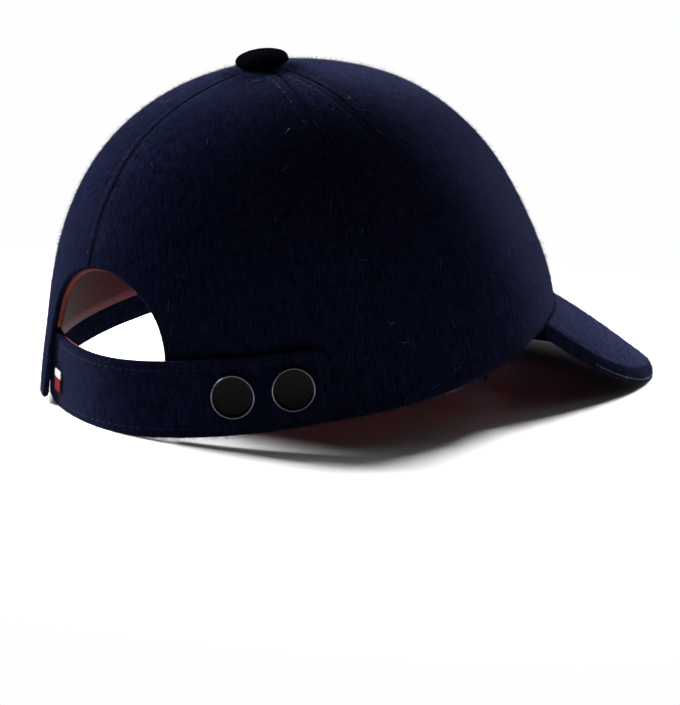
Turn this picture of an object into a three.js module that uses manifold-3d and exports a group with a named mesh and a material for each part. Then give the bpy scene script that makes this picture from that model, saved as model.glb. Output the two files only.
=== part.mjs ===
// A wool baseball cap: a six panel crown, a curved peak, and a snap strap across the arched opening.
// Millimetres, +Z up. The peak points to -Y and the wearer's right is -X.
// Every piece is drawn in the cap's own frame, whose XY plane is the rim. There t is the angle round
// the crown from the centre back towards the wearer's right, and s runs from 0 at the rim to 1 at the top.
// The cap is then pitched until it rests on the strap and on the tip of the peak.

import * as THREE from "three";
import { mergeVertices } from "three/addons/utils/BufferGeometryUtils.js";
import Module from "manifold-3d";

const wasm = await Module();
wasm.setup();

// The rim for a 58 cm head: half width, length behind and before its widest line, and how pointed it is.
const RIM = { half: 85, back: 103, front: 106, point: 1.04 };
const RIM_DIP = { front: 8, side: 4.3 };
const CROWN = { height: 104, apexBack: 3 };

// The crown's outline at the back, side and front: its roundness, its taper, and its bulge at mid height.
const PROFILE = {
  back: { round: 2.385, taper: 0.02, bulge: -0.2 },
  side: { round: 2.31, taper: 0.115, bulge: 0 },
  front: { round: 1.94, taper: -0.1, bulge: -0.03 },
};

// Each panel is a little flatter than the oval between its seams, as a share of the radius.
const FLATTEN = { back: 0.012, front: 0.04 };

// Cloth thickness, the gap kept between pieces, a panel's share of the gap at a seam, and the hole in the
// panels under the button.
const WALL = 2;
const GAP = 0.3;
const SEAM_TRIM = 0.6 * GAP;
const TOP_HOLE_RADIUS = 6;

// Seams, in degrees from the centre back. The side panels are narrow.
const SEAM = { back: 76.3, front: 96.3 };

// The opening: an arch of half an ellipse on straight legs, drawn a little to the right by the closed strap.
const ARCH = { x: -5, halfWidth: 30.6, spring: 20, rise: 32.6 };
const CUTTER = { below: -20, nearY: 40, farY: 140 };

// The left back corner is pushed out by the strap tucked behind it.
const FLARE = { out: 2, x: 26, reach: 32 };

// The lining stops short of the arch, of the rim and of the strap. A piping runs behind the arch's edge.
const LINING = { wall: 1, clear: 0.6, hem: 1.8, rim: 0.045 };
const STRAP_POCKET = { half: 46, top: 27.5 };
const PIPING = { radius: 0.9, margin: 0.4, sides: 8, steps: 40, points: 12, endAngle: 0.2 };

// The peak: half width, length, roundness of its front edge, fall per millimetre, and how it curves down.
const PEAK = { half: 68.7, length: 57.3, round: 2.37, fall: 0.72, curl: 0.00185, droop: 0.11 };
const PEAK_EDGE = { thick: 6.4, thin: 0.6, bevel: 0.94, overlap: 0.6, corner: 0.07, least: 1 };

// The strap: its ends in degrees, its edges in height, and its layers. It starts inside the left back panel,
// crosses the opening and lies over the right back panel.
const STRAP = { start: -27, end: 62, bottom: -1.5, top: 24.5, cloth: 1.6, lining: 0.8 };
const STRAP_END = { cornerDeg: 6, narrowing: 0.3 };
const CROSSING = { from: -16, to: 23.5 };
const STRAP_LINING_INSET = { bottom: 2.2, top: 0.3 };

// The two press stud caps on the strap, and the button on the crown.
const SNAP = { radius: 7.5, height: 2.8, edge: 1, z: 12, inner: 42, outer: 54.2 };
const BUTTON = { radius: 9.8, height: 5.6, edge: 1.8 };

// The woven tab at the strap's left end, and the end of tape under the rim.
const TAB = { from: -16.5, to: -11.5, bottom: 4.5, top: 12.5, thick: 0.6 };
const TAPE = { t: 99.5, wide: 2.2, thick: 1, drop: 1.8 };

// How far the cloth gives where it rests.
const GIVE = { strap: 1.2, peak: 0.5 };

// How many columns and rows of facets each piece has, and turns and steps where it is lathed.
const FACETS = {
  front: [14, 13],
  side: [5, 13],
  back: [16, 13],
  lining: [44, 12],
  peak: [30, 9],
  strap: [42, 4],
  tab: [4, 3],
  arch: 14,
  snap: 28,
  button: 32,
  dome: 6,
};

// Small steps of t, s and x for slopes, rounds of an inversion, and how close vertices merge.
const STEP = 0.002;
const FINE_STEP = 1e-4;
const ROUNDS = 40;
const MERGE = 1e-4;

const WOOL = { color: 0x25284a, roughness: 0.95, metalness: 0 };
const DARK_WOOL = { color: 0x15161f, roughness: 0.9, metalness: 0 };
const RED_CLOTH = { color: 0x6a1522, roughness: 0.6, metalness: 0 };
const PALE_PIPING = { color: 0xb5604c, roughness: 0.6, metalness: 0 };
const ENAMEL = { color: 0x0d0d10, roughness: 0.25, metalness: 0.3 };
const WOVEN_TAB = { color: 0xe6e1dc, roughness: 0.8, metalness: 0 };
const BLACK_TAPE = { color: 0x0c0c10, roughness: 0.85, metalness: 0 };

const radians = THREE.MathUtils.degToRad;
const lerp = THREE.MathUtils.lerp;
const smoothstep = THREE.MathUtils.smoothstep;

// Height of the rim where its share of front and side is given.
function rimHeight(front, side) {
  return -RIM_DIP.front * front ** 2 - RIM_DIP.side * side ** 2;
}

// How much a panel is flattened at an angle, highest midway between its seams.
function flattening(t) {
  const aside = Math.abs(Math.atan2(Math.sin(t), Math.cos(t)));
  const back = radians(SEAM.back);
  const front = radians(SEAM.front);
  if (aside < back) return FLATTEN.back * Math.sin((Math.PI * aside) / back) ** 2;
  if (aside < front) return 0;
  return FLATTEN.front * Math.sin((Math.PI * (aside - front)) / (Math.PI - front)) ** 2;
}

// A direction's shares of back, side and front.
function shares(t) {
  const c = Math.cos(t);
  return { back: Math.max(c, 0) ** 2, side: Math.sin(t) ** 2, front: Math.max(-c, 0) ** 2 };
}

// The crown's radius and height as shares of the rim's and of the whole height: a superellipse.
function ring(t, s) {
  const { back, side, front } = shares(t);
  const mix = (key) => PROFILE.back[key] * back + PROFILE.side[key] * side + PROFILE.front[key] * front;
  const power = 2 / mix("round");
  const angle = (s * Math.PI) / 2;
  const rise = Math.sin(angle) ** power;
  const belly = 1 - mix("taper") * rise + mix("bulge") * rise * (1 - rise);
  const flat = 1 - flattening(t) * smoothstep(rise, 0, 0.5);
  return { shrink: Math.cos(angle) ** power * belly * flat, rise };
}

// A point on the crown's outer face.
function crown(t, s) {
  const c = Math.cos(t);
  const { side, front } = shares(t);
  const { shrink, rise } = ring(t, s);
  const reach = c > 0 ? RIM.back * c : -RIM.front * (-c) ** RIM.point;
  return new THREE.Vector3(
    -RIM.half * Math.sin(t) * shrink,
    reach * shrink + CROWN.apexBack * rise,
    lerp(rimHeight(front, side), CROWN.height, rise),
  );
}

// The outward direction at a point of the crown, from its neighbours.
function outward(t, s) {
  const v = THREE.MathUtils.clamp(s, 2 * STEP, 1 - 8 * STEP);
  const along = crown(t + STEP, v).sub(crown(t - STEP, v));
  const up = crown(t, v + STEP).sub(crown(t, v - STEP));
  return along.cross(up).normalize();
}

// A point at a distance outside the crown's outer face, or inside it where the distance is negative.
function layer(t, s, distance) {
  return crown(t, s).addScaledVector(outward(t, s), distance);
}

// The s at which the crown reaches a height.
function levelOf(t, z) {
  let low = 0;
  let high = 1;
  for (let i = 0; i < ROUNDS; i += 1) {
    const middle = (low + high) / 2;
    if (crown(t, middle).z < z) low = middle;
    else high = middle;
  }
  return (low + high) / 2;
}

// The place on the back of the crown with a given x and z, by turning the formula for x round.
function placeAt(x, z) {
  let t = 0;
  for (let i = 0; i < ROUNDS; i += 1) {
    const width = RIM.half * ring(t, levelOf(t, z)).shrink;
    t = Math.asin(THREE.MathUtils.clamp(-x / width, -1, 1));
  }
  return { t, s: levelOf(t, z) };
}

// A closed solid between two sheets of the same grid. The turn from u to v faces from lower to upper.
function slab([columns, rows], upper, lower) {
  const positions = [];
  const faces = [];
  const index = (sheet, i, j) => (sheet * (columns + 1) + i) * (rows + 1) + j;
  const quad = (a, b, c, d) => faces.push(a, b, c, a, c, d);
  for (const sheet of [upper, lower]) {
    for (let i = 0; i <= columns; i += 1) {
      for (let j = 0; j <= rows; j += 1) {
        positions.push(...sheet(i / columns, j / rows).toArray());
      }
    }
  }
  for (let i = 0; i < columns; i += 1) {
    for (let j = 0; j < rows; j += 1) {
      quad(index(0, i, j), index(0, i + 1, j), index(0, i + 1, j + 1), index(0, i, j + 1));
      quad(index(1, i, j), index(1, i, j + 1), index(1, i + 1, j + 1), index(1, i + 1, j));
    }
    quad(index(1, i, 0), index(1, i + 1, 0), index(0, i + 1, 0), index(0, i, 0));
    quad(index(0, i, rows), index(0, i + 1, rows), index(1, i + 1, rows), index(1, i, rows));
  }
  for (let j = 0; j < rows; j += 1) {
    quad(index(1, 0, j), index(0, 0, j), index(0, 0, j + 1), index(1, 0, j + 1));
    quad(index(1, columns, j), index(1, columns, j + 1), index(0, columns, j + 1), index(0, columns, j));
  }
  const geometry = new THREE.BufferGeometry();
  geometry.setAttribute("position", new THREE.Float32BufferAttribute(positions, 3));
  geometry.setIndex(faces);
  return geometry;
}

// A closed geometry as a solid that can be cut.
function toSolid(geometry) {
  const bare = geometry.clone();
  bare.deleteAttribute("normal");
  bare.deleteAttribute("uv");
  const merged = mergeVertices(bare, MERGE);
  const vertProperties = new Float32Array(merged.attributes.position.array);
  const triVerts = new Uint32Array(merged.index.array);
  return new wasm.Manifold(new wasm.Mesh({ numProp: 3, vertProperties, triVerts }));
}

// One geometry less another.
function cut(geometry, cutter) {
  const mesh = toSolid(geometry).subtract(toSolid(cutter)).getMesh();
  const result = new THREE.BufferGeometry();
  result.setAttribute("position", new THREE.BufferAttribute(mesh.vertProperties, 3));
  result.setIndex(new THREE.BufferAttribute(mesh.triVerts, 1));
  return result;
}

// An outline in x and z as a prism through the back of the crown.
function prismThrough(outline) {
  const depth = CUTTER.farY - CUTTER.nearY;
  const options = { depth, bevelEnabled: false, curveSegments: FACETS.arch };
  const prism = new THREE.ExtrudeGeometry(outline, options);
  return prism.rotateX(Math.PI / 2).translate(0, CUTTER.farY, 0);
}

// The arch as a prism, wider all round by a margin.
function archPrism(margin) {
  const half = ARCH.halfWidth + margin;
  const outline = new THREE.Shape();
  outline.moveTo(ARCH.x - half, CUTTER.below);
  outline.lineTo(ARCH.x + half, CUTTER.below);
  outline.lineTo(ARCH.x + half, ARCH.spring);
  outline.absellipse(ARCH.x, ARCH.spring, half, ARCH.rise + margin, 0, Math.PI, false);
  outline.lineTo(ARCH.x - half, CUTTER.below);
  return prismThrough(outline);
}

// The room that the lining leaves for the strap.
function pocketPrism() {
  const { half, top } = STRAP_POCKET;
  const outline = new THREE.Shape();
  outline.moveTo(ARCH.x - half, CUTTER.below);
  outline.lineTo(ARCH.x + half, CUTTER.below);
  outline.lineTo(ARCH.x + half, top);
  outline.lineTo(ARCH.x - half, top);
  return prismThrough(outline);
}

// How far the left back panel is pushed out near the strap.
function flare(point) {
  const aside = Math.abs(point.x - FLARE.x) / FLARE.reach;
  const above = Math.max(point.z, 0) / FLARE.reach;
  const near = Math.max(0, 1 - Math.hypot(aside, above));
  return point.y > 0 ? FLARE.out * near * near * (3 - 2 * near) : 0;
}

// The crown's radius about its top.
function radiusOf(t, s) {
  const point = crown(t, s);
  return Math.hypot(point.x, point.y - CROWN.apexBack);
}

// The s at which the crown narrows to the hole under the button.
function topLevel(t) {
  let s = 1;
  while (radiusOf(t, s) < TOP_HOLE_RADIUS) s -= STEP / 2;
  return s;
}

// A crown panel between two seams, given in degrees, trimmed a little at each.
function panelGeometry(fromDeg, toDeg, facets) {
  const from = radians(fromDeg);
  const to = radians(toDeg);
  const middle = (from + to) / 2;
  const top = topLevel(middle);
  const place = (u, v, distance) => {
    const s = v * top;
    const trim = SEAM_TRIM / radiusOf(middle, s);
    const t = lerp(from + trim, to - trim, u);
    return layer(t, s, distance + flare(crown(t, s)));
  };
  return slab(facets, (u, v) => place(u, v, 0), (u, v) => place(u, v, -WALL));
}

// The lining starts as a flat lathed disc, whose radius is 1 - s, and is lifted on to the crown's inner face.
function liningGeometry() {
  const [turns, rows] = FACETS.lining;
  const outline = [];
  for (let i = 0; i <= rows; i += 1) {
    outline.push(new THREE.Vector2(((1 - LINING.rim) * i) / rows, -1));
  }
  for (let i = rows; i >= 0; i -= 1) {
    outline.push(new THREE.Vector2(((1 - LINING.rim) * i) / rows, 1));
  }
  const geometry = new THREE.LatheGeometry(outline, turns);
  const position = geometry.attributes.position;
  for (let i = 0; i < position.count; i += 1) {
    const radius = Math.hypot(position.getX(i), position.getZ(i));
    const t = Math.atan2(position.getX(i), position.getZ(i));
    const depth = WALL + LINING.clear + (position.getY(i) > 0 ? 0 : LINING.wall);
    const point = layer(t, 1 - radius, -depth);
    position.setXYZ(i, point.x, point.y, point.z);
  }
  return cut(cut(geometry, archPrism(LINING.hem)), pocketPrism());
}

// The piping is a round tube behind the arch's edge, from just above the strap on one side to the other.
function pipingGeometry() {
  const half = ARCH.halfWidth + PIPING.margin;
  const depth = WALL + GAP + PIPING.radius;
  const points = [];
  for (let i = 0; i <= PIPING.points; i += 1) {
    const angle = lerp(PIPING.endAngle, Math.PI - PIPING.endAngle, i / PIPING.points);
    const x = ARCH.x + half * Math.cos(angle);
    const z = ARCH.spring + (ARCH.rise + PIPING.margin) * Math.sin(angle);
    const { t, s } = placeAt(x, z);
    points.push(layer(t, s, -depth));
  }
  const section = new THREE.Shape();
  section.absarc(0, 0, PIPING.radius, 0, 2 * Math.PI);
  return new THREE.ExtrudeGeometry(section, {
    extrudePath: new THREE.CatmullRomCurve3(points),
    steps: PIPING.steps,
    curveSegments: PIPING.sides / 2,
  });
}

// A point on the top face of the peak. The angle a runs across it, and w from the crown to the front edge.
function peakTop(a, w) {
  const x = PEAK.half * Math.sin(a);
  const across = (x / RIM.half) ** 2;
  const rimY = (share) => -RIM.front * (1 - share) ** (RIM.point / 2);
  const corner = rimY((PEAK.half / RIM.half) ** 2);
  const run = (Math.sqrt(across + FINE_STEP) - Math.sqrt(across)) * RIM.half;
  const slope = (rimY(across + FINE_STEP) - rimY(across)) / run;
  const innerY = rimY(across) - GAP * Math.hypot(1, slope);
  const outerY = corner - (RIM.front + PEAK.length + corner) * Math.cos(a) ** (2 / PEAK.round);
  const y = lerp(innerY, Math.min(outerY, innerY - PEAK_EDGE.least), w);
  const forward = innerY - y;
  const foot = rimHeight(1 - across, across) + PEAK_EDGE.overlap;
  const sideFall = PEAK.droop * (x / PEAK.half) ** 2 * forward;
  const fall = PEAK.fall * forward + PEAK.curl * forward ** 2 + sideFall;
  return new THREE.Vector3(x, y, foot - fall);
}

// The peak is thinner towards its front edge, which stands for the rolled seam there.
function peakGeometry() {
  const limit = Math.PI / 2 - PEAK_EDGE.corner;
  const angle = (u) => lerp(limit, -limit, u);
  const thickness = (w) =>
    PEAK_EDGE.thick * lerp(1, PEAK_EDGE.thin, smoothstep(w, PEAK_EDGE.bevel, 1));
  const top = (u, v) => {
    const point = peakTop(angle(u), v);
    point.z -= (PEAK_EDGE.thick - thickness(v)) / 2;
    return point;
  };
  const bottom = (u, v) => {
    const point = top(u, v);
    point.z -= thickness(v);
    return point;
  };
  return slab(FACETS.peak, top, bottom);
}

// How far the strap's inner face lies outside the crown: inside the left panel, then outside the right one.
function strapLift(tDeg) {
  const inside = -WALL - GAP - STRAP.cloth - GAP - STRAP.lining;
  return lerp(inside, GAP, smoothstep(tDeg, CROSSING.from, CROSSING.to));
}

// A point on the strap. Below the rim it hangs straight down.
function strapPoint(tDeg, z, distance) {
  const t = radians(tDeg);
  const foot = crown(t, 0).z;
  const point = layer(t, levelOf(t, Math.max(z, foot)), strapLift(tDeg) + distance);
  if (z < foot) point.z += z - foot;
  return point;
}

// One layer of the strap, set back from its edges. Its free end, on the right, has round corners.
function strapGeometry(inner, outer, inset) {
  const place = (u, v, distance) => {
    const tDeg = lerp(STRAP.start, STRAP.end, u);
    const into = Math.max(0, 1 - (STRAP.end - tDeg) / STRAP_END.cornerDeg);
    const bottom = STRAP.bottom + inset.bottom;
    const top = STRAP.top - inset.top;
    const narrower = STRAP_END.narrowing * (1 - Math.sqrt(1 - into ** 2));
    const half = ((top - bottom) / 2) * (1 - narrower);
    return strapPoint(tDeg, (top + bottom) / 2 + half * (2 * v - 1), distance);
  };
  return slab(FACETS.strap, (u, v) => place(u, v, outer), (u, v) => place(u, v, inner));
}

// A round cap with a flat base and a domed top, lathed about +Z from its base.
function domeGeometry({ radius, height, edge }, segments) {
  const outline = [
    new THREE.Vector2(0, 0),
    new THREE.Vector2(radius - edge / 2, 0),
    new THREE.Vector2(radius, edge / 2),
  ];
  for (let i = 1; i <= FACETS.dome; i += 1) {
    const angle = ((i / FACETS.dome) * Math.PI) / 2;
    const x = i === FACETS.dome ? 0 : radius * Math.cos(angle);
    outline.push(new THREE.Vector2(x, edge + (height - edge) * Math.sin(angle)));
  }
  return new THREE.LatheGeometry(outline, segments).rotateX(Math.PI / 2);
}

// The tab lies on the strap beside the left panel's edge.
function tabGeometry() {
  const base = STRAP.lining + GAP + STRAP.cloth + GAP;
  const place = (u, v, distance) =>
    strapPoint(lerp(TAB.from, TAB.to, u), lerp(TAB.bottom, TAB.top, v), distance);
  return slab(FACETS.tab, (u, v) => place(u, v, base + TAB.thick), (u, v) => place(u, v, base));
}

// The cap's pitch and lift at rest, from the lowest points of the strap and of the peak.
const strapFoot = strapPoint(0, STRAP.bottom, STRAP.lining + GAP + STRAP.cloth);
const peakFoot = peakTop(0, 1);
strapFoot.z += GIVE.strap;
peakFoot.z += GIVE.peak - (PEAK_EDGE.thick * (1 + PEAK_EDGE.thin)) / 2;
const pitch = Math.atan2(strapFoot.z - peakFoot.z, strapFoot.y - peakFoot.y);
const tableUp = new THREE.Vector3(0, -Math.sin(pitch), Math.cos(pitch));
const tableHeight = strapFoot.dot(tableUp);

// Presses flat what would lie below the table.
function settle(geometry) {
  const position = geometry.attributes.position;
  const point = new THREE.Vector3();
  for (let i = 0; i < position.count; i += 1) {
    point.fromBufferAttribute(position, i);
    const below = tableHeight - point.dot(tableUp);
    if (below > 0) {
      point.addScaledVector(tableUp, below);
      position.setXYZ(i, point.x, point.y, point.z);
    }
  }
  return geometry;
}

const cap = new THREE.Group();

// Adds a named piece to the cap.
function addPiece(name, geometry, finish, parent = cap) {
  const mesh = new THREE.Mesh(geometry, new THREE.MeshStandardMaterial(finish));
  mesh.name = name;
  parent.add(mesh);
}

// Adds a group that stands on the crown, facing outwards.
function standOn(t, s, distance) {
  const group = new THREE.Group();
  group.position.copy(layer(t, s, distance));
  group.quaternion.setFromUnitVectors(new THREE.Vector3(0, 0, 1), outward(t, s));
  cap.add(group);
  return group;
}

const opening = archPrism(0);
for (const [side, sign] of [["left", -1], ["right", 1]]) {
  const span = (a, b) => (sign > 0 ? [a, b] : [-b, -a]);
  addPiece(`crown_front_${side}`, panelGeometry(...span(SEAM.front, 180), FACETS.front), WOOL);
  addPiece(`crown_side_${side}`, panelGeometry(...span(SEAM.back, SEAM.front), FACETS.side), WOOL);
  const backPanel = panelGeometry(...span(0, SEAM.back), FACETS.back);
  addPiece(`crown_back_${side}`, cut(backPanel, opening), WOOL);
}
addPiece("lining", liningGeometry(), RED_CLOTH);
addPiece("lining_piping", pipingGeometry(), PALE_PIPING);
addPiece("peak", settle(peakGeometry()), WOOL);
addPiece("strap_lining", strapGeometry(0, STRAP.lining, STRAP_LINING_INSET), RED_CLOTH);
const strapCloth = [STRAP.lining + GAP, STRAP.lining + GAP + STRAP.cloth];
addPiece("strap", settle(strapGeometry(...strapCloth, { bottom: 0, top: 0 })), WOOL);
addPiece("side_tab", tabGeometry(), WOVEN_TAB);

const strapFace = GAP + STRAP.lining + GAP + STRAP.cloth;
for (const name of ["inner", "outer"]) {
  const t = radians(SNAP[name]);
  const seat = standOn(t, levelOf(t, SNAP.z), strapFace + GAP);
  addPiece(`snap_${name}`, domeGeometry(SNAP, FACETS.snap), ENAMEL, seat);
}

const buttonSeat = new THREE.Group();
buttonSeat.position.set(0, CROWN.apexBack, CROWN.height + GAP);
cap.add(buttonSeat);
addPiece("button", domeGeometry(BUTTON, FACETS.button), DARK_WOOL, buttonSeat);

const tapeSeat = new THREE.Group();
const tapeFacing = outward(radians(TAPE.t), 0);
tapeSeat.position.copy(layer(radians(TAPE.t), 0, -WALL / 2));
tapeSeat.rotation.z = Math.atan2(tapeFacing.y, tapeFacing.x);
cap.add(tapeSeat);
const tapeBox = new THREE.BoxGeometry(TAPE.thick, TAPE.wide, TAPE.drop);
addPiece("tape_end", tapeBox.translate(0, 0, -TAPE.drop / 2 - 2 * GAP), BLACK_TAPE, tapeSeat);

// The origin is on the table, under the middle of the cap's box.
cap.rotation.x = -pitch;
cap.position.z = -tableHeight;
const part = new THREE.Group();
part.add(cap);
const middle = new THREE.Box3().setFromObject(part, true).getCenter(new THREE.Vector3());
cap.position.x = -middle.x;
cap.position.y = -middle.y;

export default part;
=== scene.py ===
"""A dark navy wool baseball cap with a press stud strap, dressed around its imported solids.

Sizes are millimetres in the cap's own frame, whose XY plane is the rim: t is the angle round the crown
from the centre back towards the wearer's right, and s runs from 0 at the rim to 1 at the top. set_down()
turns such points into metres in the part's frame, where the cap rests on its strap and on its peak's tip.
"""
import math

import bpy
import numpy as np
from mathutils import Matrix, Vector


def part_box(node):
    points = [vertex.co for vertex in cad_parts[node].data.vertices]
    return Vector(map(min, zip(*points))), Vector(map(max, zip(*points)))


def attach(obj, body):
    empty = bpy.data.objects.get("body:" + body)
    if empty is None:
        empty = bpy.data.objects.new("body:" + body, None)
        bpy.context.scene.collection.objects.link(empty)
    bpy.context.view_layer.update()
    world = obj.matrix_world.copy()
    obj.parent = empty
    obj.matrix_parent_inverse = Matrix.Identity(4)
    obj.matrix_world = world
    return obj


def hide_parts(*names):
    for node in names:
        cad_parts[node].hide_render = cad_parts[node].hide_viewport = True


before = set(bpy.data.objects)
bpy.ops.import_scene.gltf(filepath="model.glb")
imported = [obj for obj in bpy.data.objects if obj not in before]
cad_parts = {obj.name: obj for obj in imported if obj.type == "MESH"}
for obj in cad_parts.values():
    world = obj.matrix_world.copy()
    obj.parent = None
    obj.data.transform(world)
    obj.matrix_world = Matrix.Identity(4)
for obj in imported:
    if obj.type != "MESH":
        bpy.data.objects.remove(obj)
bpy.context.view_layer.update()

MM = 0.001
SEED = 7

# The crown: its rim, the dip of the rim, its height, and its outline at the back, side and front.
RIM = {"half": 85, "back": 103, "front": 106, "point": 1.04}
RIM_DIP = {"front": 8, "side": 4.3}
CROWN = {"height": 104, "apex_back": 3}
UP_LENGTH = 1.5 * CROWN["height"]
PROFILE = {
    "round": {"back": 2.385, "side": 2.31, "front": 1.94},
    "taper": {"back": 0.02, "side": 0.115, "front": -0.1},
    "bulge": {"back": -0.2, "side": 0.0, "front": -0.03},
}
FLATTEN = {"back": 0.012, "front": 0.04}
SEAM = {"back": math.radians(76.3), "front": math.radians(96.3)}
TOP_HOLE_RADIUS = 6
WALL = 2
GAP = 0.3

# The opening at the back, the flare of the panel beside it, and the lining inside.
ARCH = {"x": -5, "half": 30.6, "spring": 20, "rise": 32.6, "corner": 4}
FLARE = {"out": 2, "x": 26, "reach": 32}
LINING = {"wall": 1, "clear": 0.6, "hem": 1.8, "rim": 0.045, "foot": 4.0}
STRAP_POCKET = {"half": 46, "top": 27.5}
PIPING = {"radius": 0.9, "margin": 0.4, "sides": 12, "end_angle": 0.2}

# The peak, the strap with its press studs, the button, the woven tab and the end of tape.
PEAK = {"half": 68.7, "length": 57.3, "round": 2.37, "fall": 0.72, "curl": 0.00185, "droop": 0.11}
PEAK_EDGE = {"thick": 6.4, "thin": 0.6, "overlap": 0.6, "corner": 0.07, "tuck": 1.5}
PEAK_ROLL = {"edge": 2.6, "back": 0.25}
STRAP = {"start": -27, "end": 62, "bottom": -1.5, "top": 24.5, "cloth": 1.6, "lining": 0.8}
STRAP_END = {"corner": 6, "narrowing": 0.3}
CROSSING = {"from": -16, "to": 23.5}
STRAP_LINING_INSET = {"bottom": 2.2, "top": 0.3}
SNAP = {"radius": 7.5, "height": 2.1, "rim": 0.5, "z": 12, "inner": 42, "outer": 54.2, "segments": 64}
BUTTON = {"radius": 9.8, "height": 5.6, "edge": 1.8, "sunk": 1.0}
TAB = {"from": -16.5, "to": -11.5, "bottom": 4.5, "top": 12.5, "thick": 0.6}
TAPE = {"t": 99.5, "wide": 2.2, "thick": 1, "drop": 1.8}
GIVE = {"strap": 1.2, "peak": 0.5}
# The columns and rows along the peak's edge that are left out of the painted highlight on its top.
PEAK_BAND = {"columns": 3, "rows": 6}

# Cloth detail: the rolled edge, the soft valley at a seam, the topstitch beside it, the whip stitch along the
# peak, slow ripples, and the size of the grids' cells.
ROLL = 0.8
VALLEY = {"deep": 0.3, "reach": 5.0}
STITCH = {"aside": 3.2, "pitch": 3.2, "long": 2.4, "wide": 0.36, "high": 0.26, "proud": 0.05}
STITCH_GROOVE = {"deep": 0.16, "spread": 0.6}
WHIP_STITCH = {"pitch": 2.6, "long": 1.4, "wide": 0.7, "high": 0.5, "down": 0.64, "proud": 0.05}
RIPPLE = {"high": 0.28, "size": 46.0}
EDGE_STEPS = (0.0, 0.08, 0.25, 0.5, 0.85, 1.3, 2.0, 2.8)
CELL = 1.7
PEAK_CELL = 1.2
STRAP_CELL = 1.4

# Fibres that stand off the wool, for each square millimetre, and their size.
FIBRE = {"density": 1.1, "short": 0.6, "long": 2.6, "radius": 0.04, "sunk": 0.12, "edge_cells": 5,
         "edge_weight": 6.0}
LINT = {"count": 90, "long": 4.0, "radius": 0.035, "bends": 7}
CLOTH_UNIT = 100

# The photograph's view of the cap, in the cap's own frame, and the size of its frame.
VIEW = {"turn": 52.0, "rise": 19.107, "roll": 6.713, "away": 900.0, "focal": 2385.6}
FRAME_SIZE = {"width": 680, "height": 705}

# The floor, where it fades into the white of the studio, and the lights as metres along the view's own axes.
FLOOR = {"reach": 30.0, "below": 0.0002}
FLOOR_FADE = {"near": 0.1, "far": 0.34}
STUDIO_WHITE = "#fefefe"
STUDIO_WALL = {"far": 0.4, "near": 0.0, "far_edge": -0.9, "near_edge": 0.3}
SOFT_BOXES = {
    "left_soft_box": {"right": -1.0, "back": -0.5, "over": 0.75, "watts": 80, "size": 0.6},
    "right_soft_box": {"right": 0.5, "back": -0.95, "over": 0.7, "watts": 64, "size": 0.5},
}
RIM_CENTRE_PIXEL = {"x": 300.68, "y": 333.28}


def lerp(a, b, share):
    """A value between a and b."""
    return a + (b - a) * share


def smoothstep(x, low, high):
    """0 below low, 1 above high, with a smooth cubic between."""
    share = np.clip((x - low) / (high - low), 0, 1)
    return share * share * (3 - 2 * share)


def unit(vectors):
    """Vectors scaled to length 1."""
    return vectors / np.linalg.norm(vectors, axis=-1, keepdims=True)


def rim_height(front, side):
    """The rim dips by the square of its share of front and of side."""
    return -RIM_DIP["front"] * front**2 - RIM_DIP["side"] * side**2


def shares(t):
    """Back, side and front shares of a direction: squares of its cosine and sine."""
    c = np.cos(t)
    return {"back": np.maximum(c, 0) ** 2, "side": np.sin(t) ** 2, "front": np.maximum(-c, 0) ** 2}


def mixed(key, t):
    """One number of the crown's outline, mixed by the shares of back, side and front."""
    share = shares(t)
    return sum(PROFILE[key][place] * share[place] for place in share)


def flattening(t):
    """Each panel is flatter than the oval by the squared sine of its place between its seams."""
    aside = np.abs(np.arctan2(np.sin(t), np.cos(t)))
    back = FLATTEN["back"] * np.sin(np.pi * aside / SEAM["back"]) ** 2
    front = FLATTEN["front"] * np.sin(np.pi * (aside - SEAM["front"]) / (np.pi - SEAM["front"])) ** 2
    return np.where(aside < SEAM["back"], back, np.where(aside < SEAM["front"], 0, front))


def ring(t, s):
    """The crown's radius and height as shares: a superellipse, with a taper and a bulge on the radius."""
    power = 2 / mixed("round", t)
    angle = np.clip(s, 0, 1) * np.pi / 2
    rise = np.sin(angle) ** power
    belly = 1 - mixed("taper", t) * rise + mixed("bulge", t) * rise * (1 - rise)
    flat = 1 - flattening(t) * smoothstep(rise, 0, 0.5)
    return np.maximum(np.cos(angle), 0) ** power * belly * flat, rise


def crown(t, s):
    """The crown's outer face: the rim's oval, shrunk and lifted by the ring's two shares."""
    shrink, rise = ring(t, s)
    c = np.cos(t)
    share = shares(t)
    reach = np.where(c > 0, RIM["back"] * c, -RIM["front"] * np.maximum(-c, 0) ** RIM["point"])
    x = -RIM["half"] * np.sin(t) * shrink
    y = reach * shrink + CROWN["apex_back"] * rise
    z = lerp(rim_height(share["front"], share["side"]), CROWN["height"], rise)
    return np.stack(np.broadcast_arrays(x, y, z), -1)


def outward(t, s):
    """The crown's outward direction: the cross product of its steps along t and along s."""
    step = 0.002
    level = np.clip(s, 2 * step, 1 - 8 * step)
    along = crown(t + step, level) - crown(t - step, level)
    up = crown(t, level + step) - crown(t, level - step)
    return unit(np.cross(along, up))


def layer(t, s, distance):
    """A face at a distance outside the crown's outer face."""
    return crown(t, s) + outward(t, s) * np.asarray(distance)[..., None]


def level_of(t, z):
    """The s at which the crown reaches a height, by turning its rise round."""
    share = shares(t)
    foot = rim_height(share["front"], share["side"])
    rise = np.clip((z - foot) / (CROWN["height"] - foot), 0, 1)
    return np.arcsin(rise ** (mixed("round", t) / 2)) * 2 / np.pi


def place_at(x, z):
    """The t and s on the back of the crown with a given x and z, by repeated inversion of x."""
    t = np.zeros_like(x)
    for _ in range(20):
        s = level_of(t, z)
        t = np.arcsin(np.clip(-x / (RIM["half"] * ring(t, s)[0]), -1, 1))
    return t, level_of(t, z)


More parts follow.
